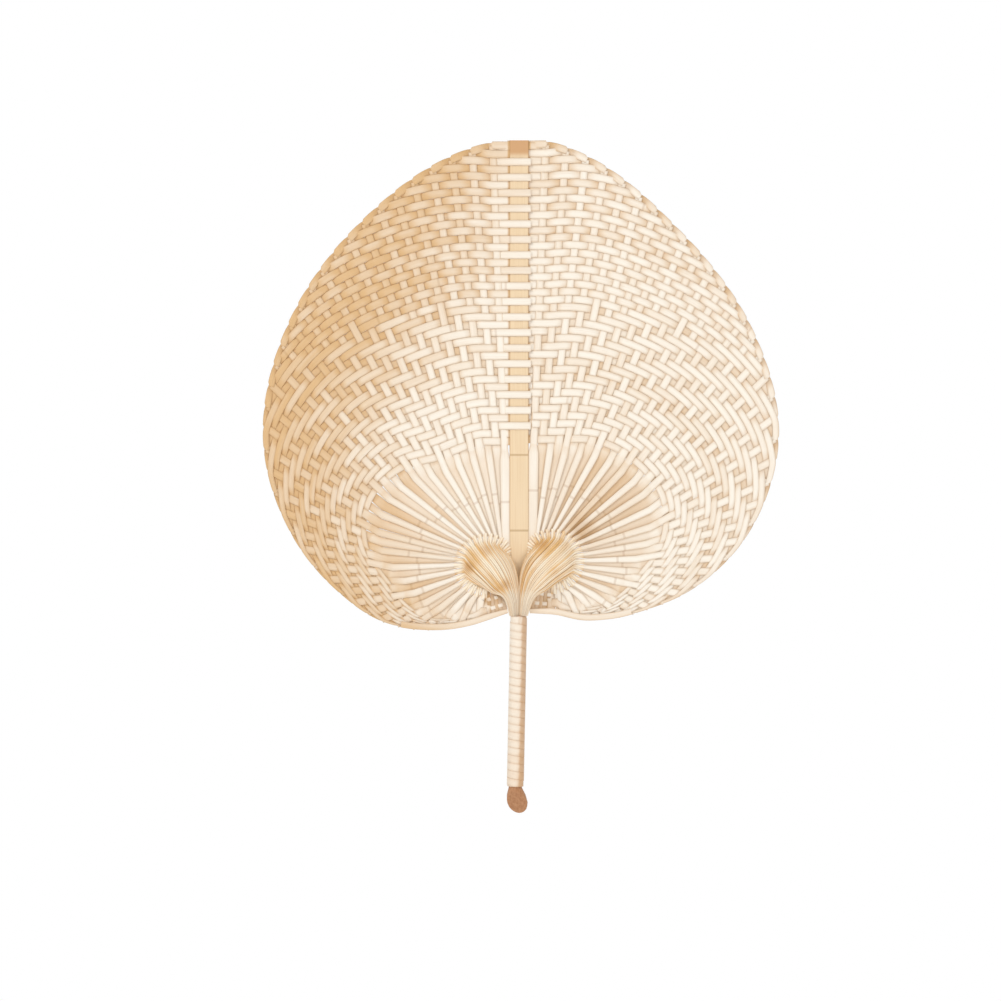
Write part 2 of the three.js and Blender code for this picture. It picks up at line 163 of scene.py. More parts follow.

# Places where the bamboo is browner, partly stains and partly painted shade in dips and hollows, or, below
# zero, paler with painted highlights: (x, z, reach, strength)
STAINS_AND_PAINTED_LIGHT = [
    (-27.0, 75.3, 4.5, 1.1),
    (-17.5, 84.5, 5.5, 0.8),
    (-8.5, 87.0, 3.5, 0.4),
    (-6.5, 65.5, 4.0, 0.9),
    (-18.5, 75.5, 5.0, -0.7),
    (-12.5, 61.5, 3.5, 0.6),
    (12.5, 78.0, 4.5, -0.6),
    (14.4, 88.0, 5.5, 0.9),
    (21.0, 73.5, 4.0, 0.5),
    (36.5, 96.0, 8.0, 0.8),
    (50.0, 108.0, 26.0, 0.4),
    (-17.2, 55.5, 2.4, 1.6),
    (-18.5, 50.0, 2.4, 1.2),
    (19.5, 54.0, 3.5, 0.9),
]

Station = namedtuple("Station", "point lift width across shade", defaults=(None, 0.0))


def polar_value(shape, angle):
    """A smooth curve through evenly stepped values, the first one a step before angle zero."""
    at = angle / RIM_STEP + 1
    i = min(max(math.floor(at), 1), len(shape) - 3)
    t = at - i
    a, b, c, d = shape[i - 1:i + 3]
    return b + 0.5 * t * (c - a + t * (2 * a - 5 * b + 4 * c - d + t * (3 * (b - c) + d - a)))


def rim_radius(side, angle):
    return side["rim"] * polar_value(side["rim_shape"], angle)


def window_radius(side, angle):
    return side["window"] * polar_value(side["window_shape"], angle)


def rim_angle(j):
    """Direction of splint j where it turns at the rim."""
    return FIRST_ANGLE + 2.85 * j + 0.00135 * j ** 3


def window_angle(j):
    """Direction of splint j at the edge of the open window."""
    return -14.5 + 4.19 * j + 0.000019 * j ** 4


def ring_angle(j):
    """Direction of splint j at the whorl."""
    return -41 + 5.17 * j + 0.00032 * j ** 3


def splint_at(angle):
    """The fractional splint number whose rim angle is the one given."""
    low, high = 0, SPLINTS
    for _ in range(30):
        middle = (low + high) / 2
        if rim_angle(middle) < angle:
            low = middle
        else:
            high = middle
    return low


def row_depth(d):
    """Depth of a row behind the rim in row pitches: it follows the rim, then sinks behind the next turn."""
    past = d - TURN_LAG
    return 0.5 * (past + math.hypot(past, TURN_SOFTNESS))


def row_pitch(side, angle):
    at = max(angle, FIRST_ANGLE)
    rows = WINDOW_ROW - splint_at(at)
    return (rim_radius(side, at) - window_radius(side, at)) / max(rows, ROWS_LEAST)


def row_width(side, angle):
    return min(row_pitch(side, angle), ROW_MOST)


def row_radius(side, k, angle):
    """Radius of the middle of row k; past the first splint the rows run level to the rib."""
    at = max(angle, FIRST_ANGLE)
    depth = ROW_INSET + row_depth(k - splint_at(at)) + BAND_INSET * smooth((at - BAND_LAST) / 20)
    radius = rim_radius(side, at) - depth * row_pitch(side, at)
    if angle < at:
        radius *= math.cos(math.radians(at)) / math.cos(math.radians(angle))
    return radius


def polar_point(side, radius, angle, centre="whorl"):
    a = math.radians(angle)
    x, z = side[centre]
    return Vector((x + side["sign"] * radius * math.sin(a), z + radius * math.cos(a)))


def polar_of(side, point):
    """Radius and angle round the whorl; the angle runs from -90 over the top and down to 270."""
    x = (point.x - side["whorl"][0]) * side["sign"]
    z = point.y - side["whorl"][1]
    return math.hypot(x, z), 90 - math.degrees(math.atan2(z, x))


def warp_line(side, j):
    """Straight run of warp j, from the edge of the open window to the rim."""
    near, far = window_angle(j), rim_angle(j)
    start = polar_point(side, window_radius(side, near) - WINDOW_MARGIN, near)
    end = polar_point(side, rim_radius(side, far) - 0.5 * row_width(side, far), far)
    return start, end


def warp_width(side, j, point):
    """Most of the room between the two neighbouring warps."""
    room = 0.0
    for other in (j - 1, j + 1):
        start, end = warp_line(side, other)
        room += abs((end - start).normalized().cross(point - start)) / 2
    return min(max(WARP_FILL * room, WARP_LEAST), WARP_MOST)


def crossing(side, k, j):
    """Where row k meets warp j."""
    start, end = warp_line(side, j)
    low, high = 0.0, 1.1
    for _ in range(24):
        middle = (low + high) / 2
        radius, angle = polar_of(side, start.lerp(end, middle))
        if radius < row_radius(side, k, angle):
            low = middle
        else:
            high = middle
    return start.lerp(end, low)


def row_in_front(k, j):
    """Plain weave above, two over and two under below."""
    if k + PLAIN_SLANT * j < PLAIN_ROWS:
        return (k + j) % 2 == 0
    return (k + j) % 4 < 2


def smooth(t):
    t = min(max(t, 0.0), 1.0)
    return t * t * (3 - 2 * t)


def stain_and_painted_light(point):
    """How much browner or paler the bamboo is at a point of the plane: stains, painted shade in dips and
    painted highlights on humps.
    """
    total = 0.0
    for x, z, reach, strength in STAINS_AND_PAINTED_LIGHT:
        total += strength * math.exp(-((point.x - x) ** 2 + (point.y - z) ** 2) / reach ** 2)
    return total


class Strips:
    """Centre lines of strips, with the half width and the facing of each point, for one piece."""

    def __init__(self):
        self.points = []
        self.edges = []
        self.across = []
        self.facing = []
        self.along = []
        self.tint = []
        self.shade = []

    def add(self, points, across, facing, tint, shades, start=0.0):
        first = len(self.points)
        length = start
        for i, point in enumerate(points):
            if i:
                length += (point - points[i - 1]).length
                self.edges.append((first + i - 1, first + i))
            self.points.append(point)
            self.across.append(across[i])
            self.facing.append(facing[i])
            self.along.append(length)
            self.tint.append(tint)
            self.shade.append(shades[i])

    def add_flat(self, stations, tint, thickness=THICKNESS, start=0.0):
        """A strip that lies in the plane of the blade."""
        points, across, facing = [], [], []
        count = len(stations)
        for i, at in enumerate(stations):
            before = stations[max(i - 1, 0)].point
            after = stations[min(i + 1, count - 1)].point
            run = (after - before).normalized()
            square = Vector((-run.y, run.x))
            side = at.across if at.across else square
            share = side.dot(square)
            side = side * (at.width / 2 / math.copysign(max(abs(share), SLANT_LEAST), share))
            points.append(Vector((at.point.x, at.lift, at.point.y)) * MM)
            across.append(Vector((side.x, 0, side.y)) * MM)
            facing.append(Vector((0, -thickness / 2, 0)) * MM)
        self.add(points, across, facing, tint, [at.shade for at in stations], start)


def strip_tree():
    """Node tree that sweeps a soft-edged flat section along each centre line."""
    tree = bpy.data.node_groups.new("strip_sweep", "GeometryNodeTree")
    face = tree.interface
    face.new_socket("Geometry", in_out="INPUT", socket_type="NodeSocketGeometry")
    face.new_socket("Section points", in_out="INPUT", socket_type="NodeSocketInt")
    face.new_socket("Edge roundness", in_out="INPUT", socket_type="NodeSocketFloat")
    face.new_socket("Material", in_out="INPUT", socket_type="NodeSocketMaterial")
    face.new_socket("Geometry", in_out="OUTPUT", socket_type="NodeSocketGeometry")
    nodes, links = tree.nodes, tree.links

    def node(kind, **settings):
        made = nodes.new(kind)
        for key, value in settings.items():
            setattr(made, key, value)
        return made

    def named(name, data_type="FLOAT_VECTOR"):
        made = node("GeometryNodeInputNamedAttribute", data_type=data_type)
        made.inputs["Name"].default_value = name
        return made.outputs["Attribute"]

    def store(source, name, value, data_type="FLOAT_VECTOR", domain="POINT"):
        made = node("GeometryNodeStoreNamedAttribute", data_type=data_type, domain=domain)
        made.inputs["Name"].default_value = name
        links.new(source, made.inputs["Geometry"])
        links.new(value, made.inputs["Value"])
        return made.outputs["Geometry"]

    def scalar(operation, a, b=None):
        made = node("ShaderNodeMath", operation=operation)
        for i, value in enumerate((a, b)):
            if value is None:
                continue
            if isinstance(value, (int, float)):
                made.inputs[i].default_value = value
            else:
                links.new(value, made.inputs[i])
        return made.outputs[0]

    def scaled(vector, amount):
        made = node("ShaderNodeVectorMath", operation="SCALE")
        links.new(vector, made.inputs[0])
        links.new(amount, made.inputs["Scale"])
        return made.outputs[0]

    def added(a, b):
        made = node("ShaderNodeVectorMath", operation="ADD")
        links.new(a, made.inputs[0])
        links.new(b, made.inputs[1])
        return made.outputs[0]

    inputs, output = node("NodeGroupInput"), node("NodeGroupOutput")
    position = node("GeometryNodeInputPosition").outputs[0]
    to_curve = node("GeometryNodeMeshToCurve")
    links.new(inputs.outputs["Geometry"], to_curve.inputs["Mesh"])
    rail = store(to_curve.outputs["Curve"], "centre", position)
    circle = node("GeometryNodeCurvePrimitiveCircle", mode="RADIUS")
    circle.inputs["Radius"].default_value = MM
    links.new(inputs.outputs["Section points"], circle.inputs["Resolution"])
    unit = node("ShaderNodeVectorMath", operation="SCALE")
    unit.inputs["Scale"].default_value = 1 / MM
    links.new(position, unit.inputs[0])
    section = store(circle.outputs["Curve"], "section", unit.outputs[0])
    sweep = node("GeometryNodeCurveToMesh")
    sweep.inputs["Fill Caps"].default_value = True
    links.new(rail, sweep.inputs["Curve"])
    links.new(section, sweep.inputs["Profile Curve"])
    parts = node("ShaderNodeSeparateXYZ")
    links.new(named("section"), parts.inputs[0])

    def rounded(value):
        size = scalar("POWER", scalar("ABSOLUTE", value), inputs.outputs["Edge roundness"])
        return scalar("MULTIPLY", scalar("SIGN", value), size)

    over = rounded(parts.outputs["X"])
    up = rounded(parts.outputs["Y"])
    place = added(named("centre"), added(scaled(named("across"), over), scaled(named("facing"), up)))
    moved = node("GeometryNodeSetPosition")
    links.new(sweep.outputs["Mesh"], moved.inputs["Geometry"])
    links.new(place, moved.inputs["Position"])
    pair = node("ShaderNodeCombineXYZ")
    links.new(scalar("MULTIPLY", named("along", "FLOAT"), 10.0), pair.inputs["X"])
    links.new(over, pair.inputs["Y"])
    mapped = store(moved.outputs["Geometry"], "UVMap", pair.outputs[0], "FLOAT2", "CORNER")
    soft = node("GeometryNodeSetShadeSmooth")
    links.new(mapped, soft.inputs["Geometry"])
    real = node("GeometryNodeRealizeInstances")
    links.new(soft.outputs["Geometry"], real.inputs["Geometry"])
    finish = node("GeometryNodeSetMaterial")
    links.new(real.outputs["Geometry"], finish.inputs["Geometry"])
    links.new(inputs.outputs["Material"], finish.inputs["Material"])
    links.new(finish.outputs["Geometry"], output.inputs["Geometry"])
    return tree


TREE = strip_tree()
SOCKETS = {item.name: item.identifier for item in TREE.interface.items_tree if item.in_out == "INPUT"}


def bake(name, strips, material, section_points=8, roundness=0.35):
    """Sweeps the strips of one piece and returns them as a plain mesh object that faces outward."""
    rails = bpy.data.meshes.new(name + "_lines")
    rails.from_pydata(strips.points, strips.edges, [])
    for key, values in (("across", strips.across), ("facing", strips.facing)):
        data = rails.attributes.new(key, "FLOAT_VECTOR", "POINT")
        data.data.foreach_set("vector", [c for value in values for c in value])
    for key, values in (("along", strips.along), ("tint", strips.tint), ("shade", strips.shade)):
        rails.attributes.new(key, "FLOAT", "POINT").data.foreach_set("value", values)
    source = bpy.data.objects.new(name + "_source", rails)
    bpy.context.scene.collection.objects.link(source)
    sweep = source.modifiers.new("sweep", "NODES")
    sweep.node_group = TREE
    sweep[SOCKETS["Section points"]] = section_points
    sweep[SOCKETS["Edge roundness"]] = roundness
    sweep[SOCKETS["Material"]] = material
    depsgraph = bpy.context.evaluated_depsgraph_get()
    mesh = bpy.data.meshes.new_from_object(source.evaluated_get(depsgraph), depsgraph=depsgraph)
    bpy.data.objects.remove(source)
    bpy.data.meshes.remove(rails)
    for key in ("centre", "section", "across", "facing", "along"):
        if key in mesh.attributes:
            mesh.attributes.remove(mesh.attributes[key])
    shell = bmesh.new()
    shell.from_mesh(mesh)
    bmesh.ops.recalc_face_normals(shell, faces=shell.faces)
    shell.to_mesh(mesh)
    shell.free()
    mesh.name = name
    made = bpy.data.objects.new(name, mesh)
    bpy.context.scene.collection.objects.link(made)
    return made


def place_in_frame(made, slot, *nodes):
    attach(made, "root")
    if nodes:
        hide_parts(*nodes)


# Materials

def linear(hex_colour):
    """Linear red, green and blue of a colour written as six hexadecimal digits."""
    values = [int(hex_colour[i:i + 2], 16) / 255 for i in (0, 2, 4)]
    return [v / 12.92 if v <= 0.04045 else ((v + 0.055) / 1.055) ** 2.4 for v in values] + [1.0]


class Shader:
    """Short helpers for building one node material."""

    def __init__(self, name):
        self.material = bpy.data.materials.new(name)
        self.material.use_nodes = True
        self.nodes = self.material.node_tree.nodes
        self.links = self.material.node_tree.links
        self.surface = self.nodes["Principled BSDF"]

    def node(self, kind, inputs=(), **settings):
        made = self.nodes.new(kind)
        for key, value in settings.items():
            setattr(made, key, value)
        for key, value in dict(inputs).items():
            self.set(made.inputs[key], value)
        return made

    def set(self, socket, value):
        if isinstance(value, bpy.types.NodeSocket):
            self.links.new(value, socket)
        else:
            socket.default_value = value

    def math(self, operation, a, b=0.0):
        made = self.nodes.new("ShaderNodeMath")
        made.operation = operation
        for i, value in enumerate((a, b)):
            self.set(made.inputs[i], value)
        return made.outputs[0]

    def total(self, *terms):
        """Sum of value times factor for each (value, factor)."""
        result = 0.0
        for value, factor in terms:
            result = self.math("ADD", result, self.math("MULTIPLY", value, factor))
        return result

    def span(self, value, low, high, start=0.0, end=1.0):
        """value between low and high becomes start to end."""
        ends = {"Value": value, "From Min": low, "From Max": high, "To Min": start, "To Max": end}
        made = self.node("ShaderNodeMapRange", ends, interpolation_type="SMOOTHSTEP")
        return made.outputs["Result"]

    def mix(self, amount, a, b):
        made = self.node("ShaderNodeMix", data_type="RGBA")
        self.set(made.inputs["Factor"], amount)
        self.set(made.inputs[6], a)
        self.set(made.inputs[7], b)
        return made.outputs[2]

    def noise(self, vector, scale, detail=2.0):
        made = self.node("ShaderNodeTexNoise", {"Vector": vector, "Scale": scale, "Detail": detail})
        return made.outputs["Fac"]

    def stretched(self, vector, factors):
        made = self.node("ShaderNodeVectorMath", operation="MULTIPLY")
        self.set(made.inputs[0], vector)
        made.inputs[1].default_value = factors
        return made.outputs[0]

    def position(self):
        return self.node("ShaderNodeTexCoord").outputs["Object"]

    def uv(self):
        return self.node("ShaderNodeUVMap", uv_map="UVMap").outputs[0]

    def attribute(self, name):
        return self.node("ShaderNodeAttribute", attribute_name=name).outputs["Fac"]

    def finish(self, colour, roughness, height, strength=0.2, distance=0.0002):
        self.set(self.surface.inputs["Base Color"], colour)
        self.set(self.surface.inputs["Roughness"], roughness)
        self.set(self.surface.inputs["Specular IOR Level"], 0.3)
        bump = self.node("ShaderNodeBump", {"Height": height, "Strength": strength, "Distance": distance})
        self.set(self.surface.inputs["Normal"], bump.outputs[0])
        return self.material


def splint_material(name, colours, edge_shade_share=0.28, variety=0.3):
    """Split bamboo: long fibres, painted shade towards the edges, a tint for each splint, warmer towards the
    left.
    """
    s = Shader(name)
    pale, warm, dark = map(linear, colours)
    tint = s.attribute("tint")
    shade = s.attribute("shade")
    parts = s.node("ShaderNodeSeparateXYZ", {"Vector": s.uv()})
    along = parts.outputs["X"]
    offset = s.math("ABSOLUTE", parts.outputs["Y"])
    own = s.math("MULTIPLY", tint, 37.0)
    shifted = s.node("ShaderNodeCombineXYZ", {"X": along, "Y": parts.outputs["Y"], "Z": own}).outputs[0]
    fibres = s.noise(s.stretched(shifted, (1.5, 9.0, 1.0)), 2.0, detail=3.0)
    blotch = s.noise(s.stretched(shifted, (3.0, 0.6, 1.0)), 1.0, detail=1.0)
    place = s.node("ShaderNodeSeparateXYZ", {"Vector": s.position()})
    above = s.math("MAXIMUM", s.math("SUBTRACT", place.outputs["Z"], WARM_ABOVE * MM), 0.0)
    below = s.math("MAXIMUM", s.math("SUBTRACT", WARM_BELOW * MM, place.outputs["Z"]), 0.0)
    leftwards = s.total((place.outputs["X"], -1.0), (above, 0.5), (below, 0.45))
    leftness = s.span(leftwards, WARM_FROM * MM, WARM_TO * MM)
    # The shade attribute carries painted shade, where strips lie behind others or in hollows, together with
    # the stains
    amount = s.total((tint, variety), (blotch, 0.4), (leftness, 0.66), (shade, 0.5))
    colour = s.mix(s.span(amount, 0.2, 1.25), pale, warm)
    # Painted shade: each strip goes warmer and then darker towards its edges, where its rounding turns from
    # the light
    edge = s.span(offset, 0.35, 1.0, 0.0, edge_shade_share)
    colour = s.mix(edge, colour, warm)
    colour = s.mix(s.span(offset, 0.72, 1.0, 0.0, 0.1), colour, dark)
    # Painted shade: high shade values go towards the dark colour
    colour = s.mix(s.span(shade, 0.4, 1.7, 0.0, 0.75), colour, dark)
    colour = s.mix(s.span(fibres, 0.5, 0.75, 0.0, 0.2), colour, dark)
    node_place = s.total((along, 1 / 3), (tint, -0.03))
    near_node = s.math("ABSOLUTE", s.math("SUBTRACT", s.math("FRACT", node_place), 0.085))
    colour = s.mix(s.span(near_node, 0.0035, 0.001, 0.0, 0.25), colour, dark)
    crown = s.total((s.math("MULTIPLY", offset, offset), -1.0), (fibres, 0.35))
    return s.finish(colour, 0.45, crown, strength=0.4, distance=0.0003)


def rib_material():
    """Planed bamboo slat: fine upright fibres, thin joint lines, a browner bare end at the top."""
    s = Shader("rib_bamboo")
    where = s.position()
    parts = s.node("ShaderNodeSeparateXYZ", {"Vector": where})
    height = parts.outputs["Z"]
    sideways = s.math("ABSOLUTE", s.math("SUBTRACT", parts.outputs["X"], RIB_CENTRE * MM))
    fibres = s.noise(s.stretched(where, (1800.0, 1800.0, 25.0)), 1.0, detail=3.0)
    colour = s.mix(s.span(fibres, 0.35, 0.75, 0.0, 0.35), linear("edd4b0"), linear("dcb98b"))
    colour = s.mix(s.span(height, RIB_BARE_FROM * MM, RIB_BARE_TO * MM), colour, linear("d0a274"))
    # Painted shade along both edges of the slat, for the shadowed gaps beside it
    edge = s.span(sideways, (RIB_WIDTH / 2 - 0.6) * MM, (RIB_WIDTH / 2 - 0.1) * MM, 0.0, 0.8)
    colour = s.mix(edge, colour, linear("b98c58"))
    for joint in RIB_JOINTS:
        near = s.math("ABSOLUTE", s.math("SUBTRACT", height, joint * MM))
        colour = s.mix(s.span(near, 0.0009, 0.0003, 0.0, 0.5), colour, linear("b08a5a"))
    return s.finish(colour, 0.5, fibres)


def stick_material():
    """Bare stick: brown grain running along it."""
    s = Shader("stick_bamboo")
    grain = s.noise(s.stretched(s.position(), (900.0, 900.0, 90.0)), 1.0, detail=4.0)
    colour = s.mix(s.span(grain, 0.3, 0.7), linear("c08d66"), linear("ac7852"))
    return s.finish(colour, 0.55, grain, strength=0.15)


splint_finish = splint_material("splint_bamboo", ("f8efe1", "dcb583", "b0824c"))
whorl_finish = splint_material("whorl_bamboo", ("fbeed8", "e8bb7c", "b98049"), edge_shade_share=0.45, variety=0.75)
wrap_finish = splint_material("wrap_bamboo", ("f6ead9", "dfb68c", "c0905e"), edge_shade_share=0.2)
rib_finish = rib_material()
stick_finish = stick_material()


# Splints

def warp_stations(side, j):
    """A splint on its way out: whorl, open window, then over and under the rows to the rim."""
    front = -1 if j % 2 == 0 else 1
    # Painted shade on the back layer of the open window
    layer_shade, outer_gain = (FRONT_SHADE, FRONT_GAIN) if front < 0 else (BACK_SHADE, BACK_GAIN)
    start, end = warp_line(side, j)
    length = (end - start).length
    into = start.lerp(end, min(0.5, 5 / length))
    angle = ring_angle(j - j % 2 + 0.5 + PAIR_SPREAD * front)
    fork = polar_point(side, WHORL_RADIUS + FORK_REACH, angle, "curl")
    ring = polar_point(side, WHORL_RADIUS - 0.3, angle, "curl")
    rib_edge = RIB_CENTRE + side["sign"] * RIB_WIDTH / 2
    stations = []
    for t in (0.0, 0.35, 0.7):
        at = ring.lerp(fork, t)
        shade = layer_shade + stain_and_painted_light(at)
        stations.append(Station(at, (0.1 + 0.4 * t) * front, 1.5 + 0.5 * t, shade=shade))
    for i in range(9):
        t = i / 8
        at = fork.lerp(start, t)
        width = SPOKE_WIDTH + outer_gain * t ** 0.8
        lift = LAYER_OFFSET * front
        if j == 0:
            width = max(width, 2 * abs(at.x - rib_edge) + RIB_TUCK)
            lift = RIB_TUCK_LIFT
        stations.append(Station(at, lift, width, shade=layer_shade + stain_and_painted_light(at)))
    crossings = []
    for k in range(SPLINTS - 1, j, -1):
        point = crossing(side, k, j)
        if (point - start).dot(end - start) > (into - start).dot(end - start):
            crossings.append((point, WARP_LIFT if row_in_front(k, j) else -WARP_LIFT))
    crossings.append((end, crossings[-1][1] if crossings else WARP_LIFT))
    point_before, lift_before = into, (crossings[0][1] + WARP_LIFT * front) / 2
    stations.append(Station(into, lift_before, SPOKE_WIDTH + outer_gain, shade=0.3))
    for point, lift in crossings:
        for t in (0.3, 0.5, 0.7, 1.0):
            at = point_before.lerp(point, t)
            height = lift_before + (lift - lift_before) * smooth((t - 0.2) / 0.6)
            # Painted shade: the warp darkens the further it dives behind a row
            shade = 0.3 + 0.3 * height / WARP_LIFT
            inner_share = math.exp(-(at - into).length / 5)
            width = warp_width(side, j, at)
            width += inner_share * max(SPOKE_WIDTH + outer_gain - width, 0)
            stations.append(Station(at, height, width, shade=shade))
        point_before, lift_before = point, lift
    # Near the turn it is no wider than the row it becomes
    most = row_width(side, rim_angle(j))
    stations[-4:] = [at._replace(width=min(at.width, most)) for at in stations[-4:]]
    return stations, crossings[-1][1]


def row_stations(side, k, turn_lift):
    """A splint on its way back: the turn at the rim, the weave, then over or behind the rib."""
    far = rim_angle(k)
    first = far + math.degrees(0.8 / rim_radius(side, far))
    fold = turn_lift - THICKNESS
    knots = [(first, fold, None), (far, fold, None)]
    for j in range(k - 1, -1, -1):
        start, end = warp_line(side, j)
        angle = polar_of(side, crossing(side, k, j))[1]
        knots.append((angle, -ROW_LIFT if row_in_front(k, j) else ROW_LIFT, (end - start).normalized()))
    stations = []
    for i in range(len(knots) - 1):
        (angle_a, lift_a, across_a), (angle_b, lift_b, across_b) = knots[i], knots[i + 1]
        across_a, across_b = across_a or across_b, across_b or across_a
        for t in (0.0, 0.22, 0.36, 0.5, 0.64, 0.78):
            if i == 0 and t:
                continue
            angle = angle_a + (angle_b - angle_a) * t
            lift = lift_a + (lift_b - lift_a) * smooth((t - 0.2) / 0.6)
            across = across_a.lerp(across_b, t) if across_a and across_b else None
            at_rim = smooth(1.6 - (k - splint_at(angle)))
            # Painted shade where the row dives behind a warp; also darker along the rim
            shade = 0.3 + 0.3 * lift / ROW_LIFT + 0.35 * at_rim
            point = polar_point(side, row_radius(side, k, angle), angle)
            width = row_width(side, angle) * (0.5 if i == 0 else 1)
            stations.append(Station(point, lift, width, across, shade))
    return stations + rib_stations(side, k, knots[-1])


def rib_stations(side, k, knot):
    """Left odd rows but 1 and 39 go over the rib, right even rows go behind it, and others end beside it."""
    sign = side["sign"]
    angle, lift, _ = knot
    width = row_width(side, FIRST_ANGLE)
    start = polar_point(side, row_radius(side, k, angle), angle)
    near = RIB_CENTRE + sign * RIB_WIDTH / 2
    crosses = k % 2 == 1 and 1 < k < SPLINTS - 1 if sign < 0 else k % 2 == 0
    if crosses:
        off = RIB_THICKNESS / 2 + ROW_OVER_RIB
        ends = [
            (near + sign * 1.0, sign * (off - 0.15)),
            (near - sign * 1.0, sign * off),
            (RIB_CENTRE, sign * (off + 0.08)),
            (RIB_CENTRE - sign * (RIB_WIDTH / 2 - 1), sign * off),
            (RIB_CENTRE - sign * (RIB_WIDTH / 2 + 1.2), sign * (off - 0.3)),
        ]
    else:
        ends = [(near + sign * 1.5, 0.35 * sign), (near - sign * 0.6, 0.2 * sign)]
    stations = [Station(start, lift, width)]
    for x, end_lift in ends:
        before = stations[-1]
        for t in (0.5, 1.0):
            point = Vector((before.point.x + (x - before.point.x) * t, start.y))
            lift = before.lift + (end_lift - before.lift) * smooth(t)
            # Painted shadow on the row ends in the gap beside the rib
            shade = 0.0 if crosses else 1.3 * smooth(1 - abs(point.x - near) / 1.6)
            stations.append(Station(point, lift, width, shade=shade))
    return stations


def splint_pair(name, side, pair, tints, dice):
    strips = Strips()
    for j in (2 * pair, 2 * pair + 1):
        out, turn_lift = warp_stations(side, j)
        strips.add_flat(out, tints[j])
        strips.add_flat(row_stations(side, j, turn_lift), tints[j], start=0.3 + 0.25 * dice.random())
    place_in_frame(bake(name, strips, splint_finish), "splint", name)


# Whorls: strands gathered from all round the disc, over the hump and down into the neck

def horn_rings(side):
    """Rings from the back of the disc to the neck: centre, two directions and the reach along each."""
    sign = side["sign"]
    start = Vector((side["curl"][0], 0, side["curl"][1]))
    neck = Vector((RIB_CENTRE + sign * NECK_HALF_SPACING, 0, NECK_HEIGHT))
    down = (neck - start).normalized()
    up = Vector((down.z, 0, -down.x)) * sign
    through = Vector((0, sign, 0))
    inward = Vector((-sign, 0, 0))

    def ring(share, forward, rise, reach, depth, tilt):
        centre = start.lerp(neck, share) + up * rise
        centre.y = -forward
        angle = math.radians(tilt)
        return centre, up, down * (sign * math.cos(angle)) + through * math.sin(angle), reach, depth

    def level(x, forward, height, radius):
        return Vector((x, -forward, height)), inward, through, radius, radius

    end_x = STICK_TOP * math.tan(LEAN) + sign * (BUNDLE_END_RADIUS + BUNDLE_GAP)
    return [
        ring(0, -WHORL_BACK, 0, WHORL_RADIUS * 0.93, WHORL_RADIUS * 0.93, 0),
        ring(0, 0, 0, WHORL_RADIUS, WHORL_RADIUS, 0),
        ring(0, 1.6, 0, WHORL_RADIUS, WHORL_RADIUS, 0),
        ring(0.08, 3.2, 0.5, WHORL_RADIUS * 0.98, WHORL_RADIUS * 0.8, 25),
        ring(0.3, HUMP_FORWARD - 0.4, HUMP_RISE, HUMP_REACH, HUMP_DEPTH * 1.4, 60),
        ring(0.62, HUMP_FORWARD, HUMP_RISE, HUMP_REACH * 0.74, HUMP_DEPTH, 90),
        level(RIB_CENTRE + sign * NECK_HALF_SPACING, NECK_RADIUS - 0.6, NECK_HEIGHT, NECK_RADIUS),
        level(end_x, BUNDLE_END_RADIUS - 1.1, STICK_TOP, BUNDLE_END_RADIUS),
    ]


def between(rings, s):
    """The ring at a fractional place along the horn, on a smooth curve through the given rings."""
    i = min(int(s), len(rings) - 2)
    t = s - i
    picked = [rings[min(max(i + step, 0), len(rings) - 1)] for step in (-1, 0, 1, 2)]

    def value(part):
        a, b, c, d = (ring[part] for ring in picked)
        return b + (c - a + (2 * a - 5 * b + 4 * c - d + (3 * (b - c) + d - a) * t) * t) * (0.5 * t)

    return [value(part) for part in range(5)]


def horn_point(rings, s, turn, swell=1.0):
    centre, across, second, reach, depth = between(rings, s)
    return centre + across * (swell * reach * math.cos(turn)) + second * (swell * depth * math.sin(turn))


def strand_turns(side, rings):
    """Turn and half width of each strand: one for every splint, then those on the side of the neck."""
    down = rings[1][2] * side["sign"]
    top = math.atan2(down.z * side["sign"], -down.x * side["sign"])
    angles = [ring_angle(j) for j in range(SPLINTS)]
    step = (angles[0] + 360 - angles[-1]) / (NECK_STRANDS + 1)
    angles += [angles[-1] + step * (i + 1) for i in range(NECK_STRANDS)]
    turns = [top - side["sign"] * math.radians(angle) for angle in angles]
    halves = []
    for i in range(len(angles)):
        room = angles[(i + 1) % len(angles)] - angles[i - 1]
        halves.append(math.radians(room % 360) / 4)
    return list(zip(turns, halves))


def roll_down(rows, rings, first_step, turn, half, twist, swell):
    """Adds the way over the hump and down the neck, from the given step on."""
    for i in range(first_step, RING_STEPS * (len(rings) - 1) + 1):
        at = turn + twist * smooth((i / RING_STEPS - 2) / 4)
        rows.append([horn_point(rings, i / RING_STEPS, at + way * half, swell) for way in (-1, 0, 1)])


